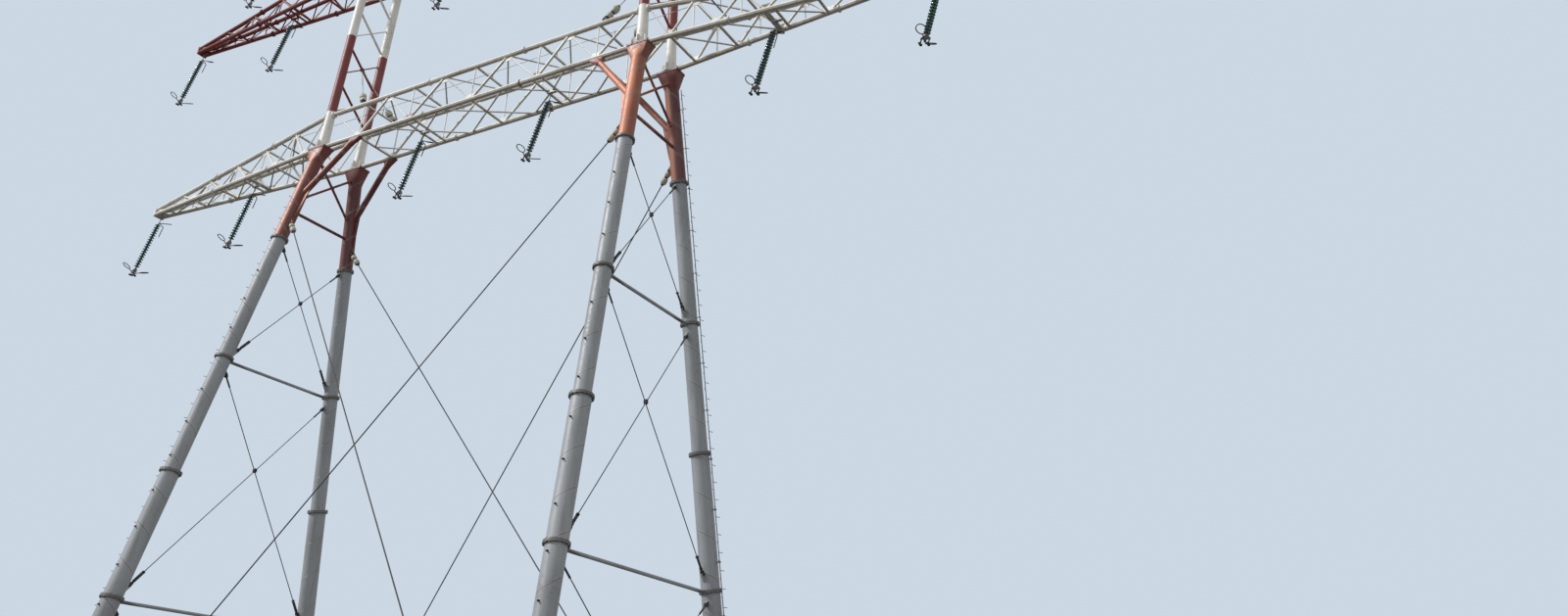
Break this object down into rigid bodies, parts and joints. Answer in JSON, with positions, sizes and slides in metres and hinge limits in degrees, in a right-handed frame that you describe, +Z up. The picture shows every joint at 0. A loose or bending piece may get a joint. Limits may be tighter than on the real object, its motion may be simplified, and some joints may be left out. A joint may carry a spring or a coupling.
{
  "type": "half-scale model of a lattice transmission pylon",
  "caption": "Portal transmission pylon of steel tube with leaning legs, lattice crossarms, glass insulator strings and cross cables.",
  "frame": {"origin": "on the ground, midway between the four feet", "axes": "+X runs along the crossarms, +Y along the line that the pylon carries, +Z up"},
  "size_m": [29.4499, 8.2998, 32.2875],
  "materials": {
    "grey_steel": "weathered",
    "orange_steel": "faded",
    "red_steel": "weathered",
    "white_steel": "weathered",
    "green_glass": "glossy",
    "galvanised_fittings": "galvanised",
    "cable_steel": "galvanised",
    "rail_steel": "galvanised"
  },
  "bodies": {
    "root": {"column_braces_left": "white_steel", "column_braces_right": "white_steel", "column_left_back": "red_steel", "column_left_front": "red_steel", "column_right_back": "red_steel", "column_right_front": "red_steel", "earth_wire_peaks": "red_steel", "knee_struts": "orange_steel", "leg_left_back": "grey_steel", "leg_left_front": "grey_steel", "leg_right_back": "grey_steel", "leg_right_front": "grey_steel", "lower_arm_left": "white_steel", "lower_arm_right": "white_steel", "lower_beam_back": "white_steel", "lower_beam_bracing": "white_steel", "lower_beam_front": "white_steel", "lower_insulators": "green_glass", "lower_yokes": "galvanised_fittings", "portal_cable_back_left": "cable_steel", "portal_cable_back_right": "cable_steel", "portal_cable_front_left": "cable_steel", "portal_cable_front_right": "cable_steel", "side_cables_left": "cable_steel", "side_cables_right": "cable_steel", "side_struts_left": "grey_steel", "side_struts_right": "grey_steel", "step_rail_left_front": "rail_steel", "step_rail_right_back": "rail_steel", "top_arm_left": "red_steel", "top_arm_right": "red_steel", "top_beam_back": "red_steel", "top_beam_bracing": "red_steel", "top_beam_front": "red_steel", "top_insulators": "green_glass", "top_yokes": "galvanised_fittings", "upper_arm_left": "red_steel", "upper_arm_right": "red_steel", "upper_beam_back": "red_steel", "upper_beam_bracing": "red_steel", "upper_beam_front": "red_steel", "upper_insulators": "green_glass", "upper_yokes": "galvanised_fittings"}
  },
  "joints": []
}
